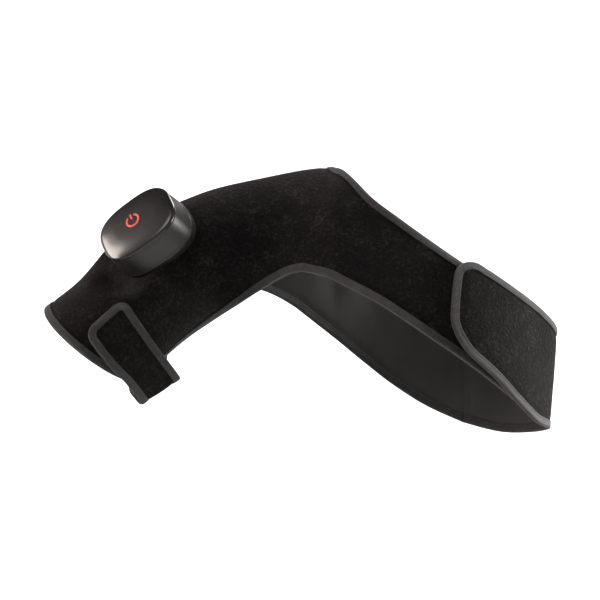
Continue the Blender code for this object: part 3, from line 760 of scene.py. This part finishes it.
def shortened(run, start, end):
    """A run of stations less a length at each end."""
    kept, passed = [], 0.0
    length = run_length([place for place, _ in run])
    for i, station in enumerate(run):
        if i:
            passed += (station[0] - run[i - 1][0]).length
        if start <= passed <= length - end:
            kept.append(station)
    return kept


# Finishes

def new_finish(name, **sockets):
    """A material whose shader has these values on its own sockets."""
    material = bpy.data.materials.new(name)
    material.use_nodes = True
    shader = material.node_tree.nodes["Principled BSDF"]
    for socket, value in sockets.items():
        shader.inputs[socket.replace("_", " ")].default_value = value
    return material


def add_node(material, kind, sockets=(), **settings):
    """A node of this kind with its settings. A socket gets a value, or the output of a node."""
    made = material.node_tree.nodes.new("ShaderNode" + kind)
    for setting, value in settings.items():
        setattr(made, setting, value)
    for socket, value in dict(sockets).items():
        if isinstance(value, bpy.types.NodeSocket):
            material.node_tree.links.new(value, made.inputs[socket])
        else:
            made.inputs[socket].default_value = value
    return made


def own_space(material):
    return add_node(material, "TexCoord").outputs["Object"]


def grain(material, where, scale, detail=2.0, roughness=0.6):
    sockets = {"Vector": where, "Scale": scale, "Detail": detail, "Roughness": roughness}
    return add_node(material, "TexNoise", sockets).outputs["Fac"]


def shades(material, amount, *stops):
    """Colours along an amount. A stop is its place and its colour."""
    made = add_node(material, "ValToRGB", {"Fac": amount})
    ramp = made.color_ramp
    while len(ramp.elements) < len(stops):
        ramp.elements.new(0.5)
    for element, (place, colour) in zip(ramp.elements, stops):
        element.position = place
        element.color = (*colour, 1.0)
    return made.outputs["Color"]


def relief(material, height, distance, strength=1.0, under=None):
    sockets = {"Height": height, "Distance": distance, "Strength": strength}
    if under is not None:
        sockets["Normal"] = under
    return add_node(material, "Bump", sockets).outputs["Normal"]


def paint(material, **sockets):
    shader = material.node_tree.nodes["Principled BSDF"]
    for socket, output in sockets.items():
        material.node_tree.links.new(output, shader.inputs[socket.replace("_", " ")])


def brushed_pile():
    """Brushed loop pile: matted fibres, in small tufts that lie this way and that."""
    material = new_finish(
        "brushed_pile", Roughness=0.92, Specular_IOR_Level=0.09, Sheen_Weight=0.035,
        Sheen_Roughness=0.45, Sheen_Tint=(0.62, 0.56, 0.50, 1.0))
    where = own_space(material)
    tufts = grain(material, where, 330.0, 3.0, 0.65)
    patches = grain(material, where, 46.0, 2.0)
    fibres = grain(material, where, 1500.0, 2.0, 0.7)
    mixed = add_node(material, "Mix", {"Factor": 0.28, "A": tufts, "B": patches})
    colour = shades(
        material, mixed.outputs["Result"],
        (0.36, (0.0012, 0.0011, 0.0011)), (0.52, (0.0038, 0.0036, 0.0036)),
        (0.66, (0.0150, 0.0138, 0.0128)))
    low = relief(material, tufts, 0.0016, 0.9)
    paint(material, Base_Color=colour, Normal=relief(material, fibres, 0.0006, 0.7, low))
    return material


def smooth_knit():
    """The lining: a fine smooth knit, in rows of small stitches."""
    material = new_finish(
        "smooth_knit", Roughness=0.80, Specular_IOR_Level=0.20, Sheen_Weight=0.02,
        Sheen_Roughness=0.5)
    where = own_space(material)
    cloudy = grain(material, where, 24.0, 2.0)
    knit = grain(material, where, 1300.0, 1.0)
    colour = shades(
        material, cloudy, (0.3, (0.0240, 0.0240, 0.0224)), (0.7, (0.0310, 0.0310, 0.0290)))
    paint(material, Base_Color=colour, Normal=relief(material, knit, 0.0003, 0.5))
    return material


def grosgrain():
    """Folded tape with fine ribs across it; the crowns of the ribs are painted paler as a painted
    highlight and the grooves darker as painted shade, mixed with a random tone.
    """
    material = new_finish(
        "ribbed_tape", Roughness=0.62, Specular_IOR_Level=0.30, Sheen_Weight=0.05,
        Sheen_Roughness=0.4)
    along_tape = add_node(material, "UVMap", uv_map="tape").outputs["UV"]
    ribs = add_node(
        material, "TexWave", {"Vector": along_tape, "Scale": 250.0, "Distortion": 0.8,
                              "Detail": 1.0, "Detail Scale": 60.0},
        wave_type="BANDS", bands_direction="X").outputs["Fac"]
    where = own_space(material)
    worn = grain(material, where, 210.0, 3.0)
    mixed = add_node(material, "Mix", {"Factor": 0.55, "A": ribs, "B": worn})
    # painted highlight on the rib crowns and painted shade in the grooves between them, mixed with
    # a random tone
    colour = shades(
        material, mixed.outputs["Result"],
        (0.28, (0.0060, 0.0056, 0.0056)), (0.74, (0.0420, 0.0396, 0.0388)))
    paint(material, Base_Color=colour, Normal=relief(material, ribs, 0.0008, 1.0))
    return material


def twisted_thread():
    material = new_finish("thread", Roughness=0.55, Specular_IOR_Level=0.4)
    twist = grain(material, own_space(material), 2600.0, 1.0)
    colour = shades(
        material, twist, (0.3, (0.0160, 0.0154, 0.0152)), (0.7, (0.0460, 0.0440, 0.0430)))
    paint(material, Base_Color=colour)
    return material


def hook_field():
    """Stiff tape with close rows of small hooks."""
    material = new_finish("hook_field", Roughness=0.45, Specular_IOR_Level=0.4)
    where = own_space(material)
    hooks = add_node(material, "TexVoronoi", {"Vector": where, "Scale": 620.0}).outputs["Distance"]
    colour = shades(
        material, hooks, (0.1, (0.0300, 0.0300, 0.0300)), (0.6, (0.0060, 0.0060, 0.0060)))
    paint(material, Base_Color=colour, Normal=relief(material, hooks, 0.0010, 1.0))
    return material


def satin_plastic():
    """Moulded plastic with a fine spark-eroded grain."""
    material = new_finish("satin_plastic", Roughness=0.40, Specular_IOR_Level=0.36)
    where = own_space(material)
    texture = grain(material, where, 3200.0, 2.0)
    handled = grain(material, where, 40.0, 3.0)
    colour = shades(
        material, handled, (0.3, (0.0100, 0.0095, 0.0095)), (0.7, (0.0130, 0.0124, 0.0124)))
    paint(material, Base_Color=colour, Normal=relief(material, texture, 0.0001, 0.20))
    return material


def gloss_plastic():
    """The lid: polished plastic under a thin clear coat."""
    material = new_finish(
        "gloss_plastic", Roughness=0.24, Specular_IOR_Level=0.36, Coat_Weight=0.18,
        Coat_Roughness=0.12)
    where = own_space(material)
    handled = grain(material, where, 55.0, 4.0)
    colour = shades(
        material, handled, (0.3, (0.0052, 0.0047, 0.0042)), (0.7, (0.0066, 0.0060, 0.0054)))
    paint(material, Base_Color=colour)
    return material


def lit_mark():
    """Red translucent plastic over a small lamp."""
    material = new_finish(
        "lit_mark", Roughness=0.38, Specular_IOR_Level=0.4, Emission_Color=(0.90, 0.06, 0.045, 1),
        Emission_Strength=0.30)
    glow = grain(material, own_space(material), 160.0, 1.0)
    colour = shades(material, glow, (0.3, (0.52, 0.028, 0.022)), (0.7, (0.66, 0.045, 0.034)))
    paint(material, Base_Color=colour)
    return material


pile = brushed_pile()
lining = smooth_knit()
ribbed_tape = grosgrain()
thread = twisted_thread()
hooks = hook_field()
satin = satin_plastic()
gloss = gloss_plastic()
red_glow = lit_mark()


# The panel

def panel_cloth():
    """The whole panel as one sheet, and its corners by name."""
    corner = len(SHOULDER_ROWS) - 1
    half_rows = NECK_ROWS + BAND_ROWS
    cap_line = {}
    for side in (-1, 1):
        rows = panel_rows(side)
        for i in range(CAP_COLUMNS + 1):
            points = panel_section(rows, side, corner * bunched(i / CAP_COLUMNS))
            length = run_length(points)
            leaves = net_shares(length, PANEL_STEPS)[NECK_STEPS]
            shares = [leaves * k / NECK_ROWS for k in range(NECK_ROWS)]
            shares += [leaves + (1 - leaves) * bunched(k / BAND_ROWS) for k in range(BAND_ROWS + 1)]
            cap_line[side, i] = [pressed_flat(along(points, s * length)) for s in shares]

    def cap_place(i, j):
        if j < half_rows:
            return cap_line[-1, i][half_rows - j]
        return cap_line[1, i][j - half_rows]

    bm = bmesh.new()
    lay_grid(bm, CAP_COLUMNS, 2 * half_rows, cap_place)
    corners = {"hem chest": cap_line[-1, 0][-1], "hem back": cap_line[1, 0][-1]}
    for side, name in ((-1, "chest"), (1, "back")):
        rows = band_rows(side)
        last = len(rows) - 1
        lines = []
        for i in range(BAND_COLUMNS + 1):
            points = panel_section(rows, side, last * i / BAND_COLUMNS)
            length = run_length(points)
            lines.append([along(points, bunched(k / BAND_ROWS) * length)
                          for k in range(BAND_ROWS + 1)])
        join = [a - b for a, b in zip(cap_line[side, CAP_COLUMNS][NECK_ROWS:], lines[0])]
        for i, line in enumerate(lines):
            fade = max(1 - last * i / BAND_COLUMNS / JOIN_ROWS, 0.0)
            fade = fade * fade * (3 - 2 * fade)
            for k, step in enumerate(join):
                line[k] = line[k] + step * fade
        if side < 0:
            lines = [line[::-1] for line in lines]
        lay_grid(bm, BAND_COLUMNS, BAND_ROWS, lambda i, j: lines[i][j])
        top, low = (-1, 0) if side < 0 else (0, -1)
        corners[name + " top"] = lines[-1][top]
        corners[name + " low"] = lines[-1][low]
    joins = cap_line[-1, CAP_COLUMNS][NECK_ROWS:] + cap_line[1, CAP_COLUMNS][NECK_ROWS:]
    return Cloth(bm, joins), corners


class Ribbon:
    """A strap's middle surface. point(s, w) is its place at s from the rounded end and w from
    its middle line."""

    def __init__(self, point, places, half_width, corner):
        self.point = point
        self.end = places[-1]
        self.half_width = half_width
        self.corner = corner

    def cloth(self, net, slant=0.0):
        """The strap as a sheet, with the two corners of its sewn end. The slant is how far the
        upper corner of its rounded end goes back."""
        columns, rows = net
        turned = [i / STRAP_TURNS * pi / 2 for i in range(STRAP_TURNS + 1)]
        stations = [(self.corner * (1 - cos(t)), self.corner * (1 - sin(t))) for t in turned]
        for i in range(1, columns + 1):
            stations.append((self.corner + (self.end - self.corner) * i / columns, 0.0))

        def place(i, j):
            s, drawn_in = stations[i]
            half = self.half_width(s) - drawn_in
            across = (2 * bunched(j / rows) - 1) * half
            height = (across / self.half_width(s) + 1) / 2
            back = slant * height * height * max(1 - s / SLANT_ENDS, 0.0)
            return self.point(s + back, across)

        bm = bmesh.new()
        lay_grid(bm, len(stations) - 1, rows, place)
        half = self.half_width(self.end)
        return Cloth(bm), self.point(self.end, half), self.point(self.end, -half)


panel, corners = panel_cloth()
front_run = panel.run(corners["hem chest"], corners["chest low"])
neck_run = panel.run(corners["chest top"], corners["back top"])
back_run = panel.run(corners["back low"], corners["hem back"])
hem_run = panel.run(corners["hem back"], corners["hem chest"])
trim = TAPE_LAYS + TAPE_TRIM
edging = [
    folded_tape("neck_tape", panel, neck_run, WALL, "neck_binding"),
    folded_tape("front_tape", panel, shortened(front_run, trim, 0.0), WALL, "front_binding"),
    folded_tape("back_tape", panel, shortened(back_run, 0.0, trim), WALL, "back_binding"),
    folded_tape("hem_tape", panel, hem_run, WALL, "hem_binding"),
]
seat = panel.tree
panel_piece = panel.sew("panel_cloth", WALL, "shoulder_panel")
[piece for pair in edging for piece in pair]

ribbon = chest_ribbon()
strap, strap_top, strap_low = ribbon.cloth(CHEST_STRAP_NET, STRAP_SLANT)
edging = folded_tape("chest_strap_tape", strap, strap.run(strap_top, strap_low), WALL,
                     "chest_strap_binding")
strap_piece = strap.sew("chest_strap_cloth", WALL, "chest_strap")
seam = close_seam("chest_strap_seam", ribbon)

ribbon = arm_ribbon()
arm, arm_top, arm_low = ribbon.cloth(ARM_STRAP_NET)
edging = folded_tape("arm_strap_tape", arm, arm.run(arm_top, arm_low), ARM_STRAP_WALL,
                     "arm_strap_binding", relief_share=0.8)
arm_piece = arm.sew("arm_strap_cloth", ARM_STRAP_WALL, "arm_strap")


# The pod

def pod_shell(name, rows, finish, node):
    """A closed rounded shell from rows of half length, half width and height, which start and
    end on the pod's middle line."""
    middle, long_way, short_way, up = POD_AT

    def place(i, j):
        half_long, half_short, height = rows[j]
        turn = 2 * pi * i / LID_FACETS
        a = copysign(abs(cos(turn)) ** (2 / POD_SQUARENESS), cos(turn)) * half_long
        b = copysign(abs(sin(turn)) ** (2 / POD_SQUARENESS), sin(turn)) * half_short
        if callable(height):
            return height(a, b)
        return middle + long_way * a + short_way * b + up * height

    bm = bmesh.new()
    lay_grid(bm, LID_FACETS, len(rows) - 1, place)
    bmesh.ops.remove_doubles(bm, verts=bm.verts[:], dist=MERGE)
    return new_piece(name, bm, [finish], [node])


def finer(rings):
    """The rings with more steps between each two, on a smooth curve."""
    last = len(rings) - 1
    return [spline(rings, i / RING_STEPS) for i in range(last * RING_STEPS + 1)]


def build_pod():
    middle, long_way, short_way, up = POD_AT
    half_long, half_short = POD_LENGTH / 2, POD_WIDTH / 2
    floor = WALL / 2 - POD_SETTLE + GAP
    base_top = floor + POD_BASE_HEIGHT
    housing_height = POD_HEIGHT - POD_BASE_HEIGHT - POD_LID_HEIGHT - 2 * GAP
    lid_floor = base_top + housing_height + 2 * GAP

    def skirt(a, b):
        point = middle + long_way * a + short_way * b + up * floor
        depth = seat.ray_cast(point, -up, POD_SKIRT + WALL)[3]
        depth = POD_SKIRT if depth is None else min(max(depth - WALL / 2, 0.0), POD_SKIRT)
        return point - up * depth * 0.5

    inset = POD_TAPER * 1.8
    rows = [(0, 0, floor), (half_long - inset, half_short - inset, floor),
            (half_long, half_short, skirt)]
    for drawn_in, share in ((0.00, 0.72), (0.05, 0.90), (0.18, 1.00), (1.60, 1.00)):
        inset = POD_TAPER * drawn_in
        rows.append((half_long - inset, half_short - inset, floor + POD_BASE_HEIGHT * share))
    rows.append((0, 0, base_top))
    pod_shell("pod_flange", rows, satin, "pod_base")

    rows = [(0, 0, base_top + GAP)]
    for drawn_in, share in finer(HOUSING_RINGS):
        inset = POD_TAPER * drawn_in
        height = base_top + GAP + housing_height * share
        rows.append((half_long - inset, half_short - inset, height))
    rows.append((0, 0, base_top + GAP + housing_height))
    pod_shell("pod_wall", rows, satin, "pod_housing")

    rows = [(0, 0, lid_floor)]
    for drawn_in, share in finer(LID_RINGS):
        inset = POD_TAPER * 0.8 + POD_LID_HEIGHT * drawn_in
        rows.append((half_long - inset, half_short - inset, lid_floor + POD_LID_HEIGHT * share))
    inner_long, inner_short, rim = rows[-1]
    crown = POD_LID_HEIGHT * (1 - LID_RINGS[-1][1])
    for k in range(1, CROWN_STEPS + 1):
        share = 1 - k / CROWN_STEPS
        rows.append((inner_long * share, inner_short * share, rim + crown * (1 - share * share)))
    pod_shell("pod_top", rows, gloss, "pod_lid")

    def on_lid(a, b):
        share = (abs(a / inner_long) ** POD_SQUARENESS
                 + abs(b / inner_short) ** POD_SQUARENESS) ** (1 / POD_SQUARENESS)
        height = rim + crown * (1 - min(share, 1.0) ** 2) + MARK_RISE
        return middle + long_way * a + short_way * b + up * height

    bm = bmesh.new()

    def ring(i, j):
        turn = pi / 2 + radians(MARK_GAP) + (2 * pi - 2 * radians(MARK_GAP)) * i / 60
        reach = MARK_RADIUS + MARK_LINE * (0.5 - j / 3)
        return on_lid(MARK_AT[0] + cos(turn) * reach, MARK_AT[1] + sin(turn) * reach)

    def bar(i, j):
        return on_lid(MARK_AT[0] + MARK_LINE * (i / 3 - 0.5),
                      MARK_AT[1] + MARK_RADIUS * (0.30 + 0.95 * j / 6))

    lay_grid(bm, 60, 3, ring)
    lay_grid(bm, 3, 6, bar)
    mark = new_piece("power_mark", bm, [red_glow])
    add_wall(mark, MARK_RISE * 2, -1.0)


build_pod()

for name in ("chest_hook_patch", "arm_hook_patch"):
    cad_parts[name].material_slots[0].material = hooks


# Studio, lights and camera

def new_object(name, data, place=(0, 0, 0), aim=None):
    obj = bpy.data.objects.new(name, data)
    bpy.context.scene.collection.objects.link(obj)
    obj.location = place
    if aim is not None:
        obj.rotation_euler = (Vector(aim) - Vector(place)).to_track_quat("-Z", "Y").to_euler()
    return obj


def soft_light(name, place, aim, size, power, colour):
    data = bpy.data.lights.new(name, "AREA")
    data.shape = "RECTANGLE"
    data.size, data.size_y = size
    data.energy = power
    data.color = colour
    return new_object(name, data, place, aim)


def build_studio():
    """A pale round room: its floor turns up into its wall without an edge."""
    white = new_finish("studio_white", Roughness=0.9, Specular_IOR_Level=0.1)
    dust = grain(white, own_space(white), 3.0, 2.0)
    paint(white, Base_Color=shades(
        white, dust, (0.3, (0.62, 0.62, 0.62)), (0.7, (0.66, 0.66, 0.66))))
    bm = bmesh.new()
    outline = [(0.0, 0.0), (ROOM_FLAT, 0.0)]
    for k in range(1, ROOM_STEPS + 1):
        turn = pi / 2 * k / ROOM_STEPS
        outline.append((ROOM_FLAT + ROOM_BEND * sin(turn), ROOM_BEND * (1 - cos(turn))))
    outline.append((ROOM_FLAT + ROOM_BEND, ROOM_TOP))

    def place(i, j):
        turn = 2 * pi * i / ROOM_FACETS
        return Vector((outline[j][0] * cos(turn), outline[j][0] * sin(turn), FLOOR + outline[j][1]))

    lay_grid(bm, ROOM_FACETS, len(outline) - 1, place)
    bmesh.ops.remove_doubles(bm, verts=bm.verts[:], dist=0.0001)
    bmesh.ops.reverse_faces(bm, faces=bm.faces[:])
    mesh = bpy.data.meshes.new("studio")
    bm.to_mesh(mesh)
    bm.free()
    mesh.shade_smooth()
    mesh.materials.append(white)
    new_object("studio", mesh)
    world = bpy.data.worlds.new("studio_air")
    world.use_nodes = True
    world.node_tree.nodes["Background"].inputs["Color"].default_value = (1.0, 1.0, 1.0, 1.0)
    world.node_tree.nodes["Background"].inputs["Strength"].default_value = 0.15
    bpy.context.scene.world = world


build_studio()
for light in LIGHTS:
    soft_light(*light)

lens = bpy.data.cameras.new("camera")
lens.lens = 90
lens.sensor_width = 36
camera = new_object("camera", lens, (0.015, -1.4095, -0.645), (0.015, 0.0, -0.132))
bpy.context.scene.camera = camera
bpy.context.scene.view_settings.view_transform = "Standard"
